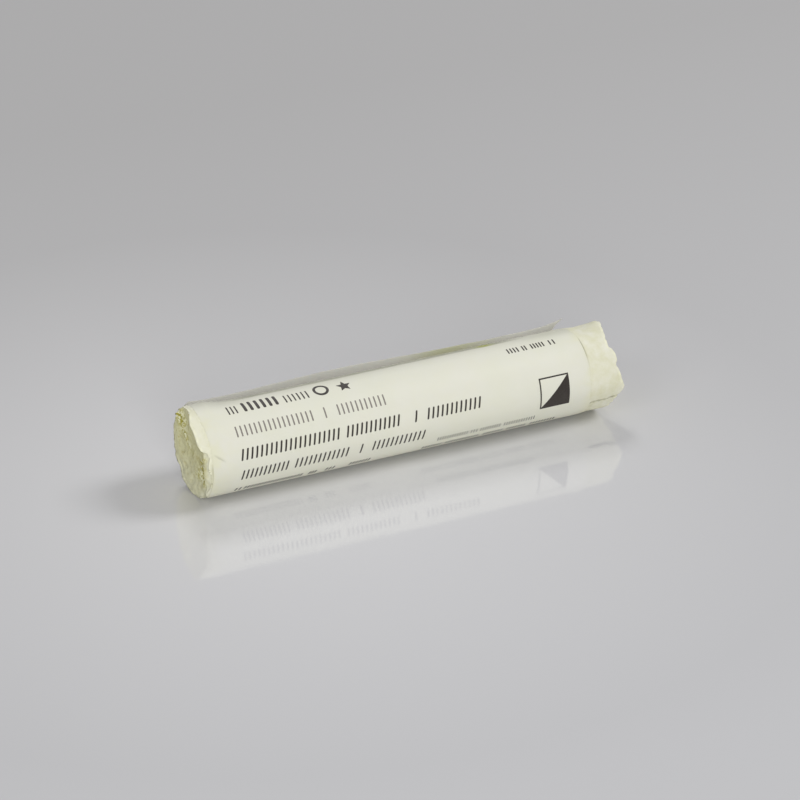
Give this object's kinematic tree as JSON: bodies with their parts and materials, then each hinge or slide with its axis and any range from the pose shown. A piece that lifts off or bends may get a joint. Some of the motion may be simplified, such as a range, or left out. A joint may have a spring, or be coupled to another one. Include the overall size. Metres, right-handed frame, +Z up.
{
  "type": "soft pastel stick",
  "caption": "Round soft pastel stick with broken ends, lying in a plain paper wrapper whose lapped long edge has come loose and stands away.",
  "frame": {"origin": "on the table under the middle of the stick", "axes": "+X along the stick towards the end that stands further out of the paper, +Y to the side that the loose paper edge lifts from, +Z up as the stick lies"},
  "size_m": [0.0612, 0.0118, 0.0123],
  "materials": {
    "pastel": "matt, powdery pressed pigment and chalk, pale lemon yellow",
    "paper": "thin off-white label paper with a slight sheen, printed in dark grey, yellow showing through"
  },
  "bodies": {
    "root": {"pastel_stick": "pastel", "paper_label": "paper"}
  },
  "joints": []
}
